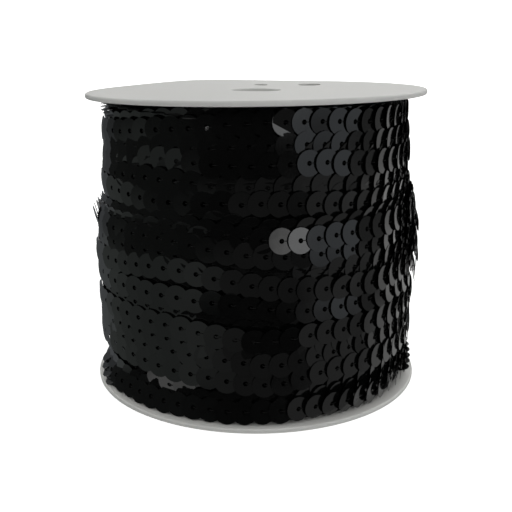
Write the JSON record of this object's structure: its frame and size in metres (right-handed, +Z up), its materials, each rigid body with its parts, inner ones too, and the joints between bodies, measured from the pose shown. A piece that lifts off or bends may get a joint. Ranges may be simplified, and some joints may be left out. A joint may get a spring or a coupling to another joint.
{
  "type": "sequin trim on a spool",
  "caption": "Flat round black sequins on one thread, overlapping like roof tiles and wound in many turns on a plastic spool with two thin flanges and a through bore.",
  "frame": {"origin": "centre of the underside of the lower flange, on the spool's axis", "axes": "+Z up along the spool's axis, the front of the picture faces -Y, +X to its right"},
  "size_m": [0.088, 0.088, 0.0773],
  "materials": {
    "white_plastic": "moulded off-white plastic with a soft gloss",
    "black_sequins": "glossy black film sequins on black thread"
  },
  "bodies": {
    "root": {"flange_bottom": "white_plastic", "core_tube": "white_plastic", "flange_top": "white_plastic", "trim_winding": "black_sequins"}
  },
  "joints": []
}
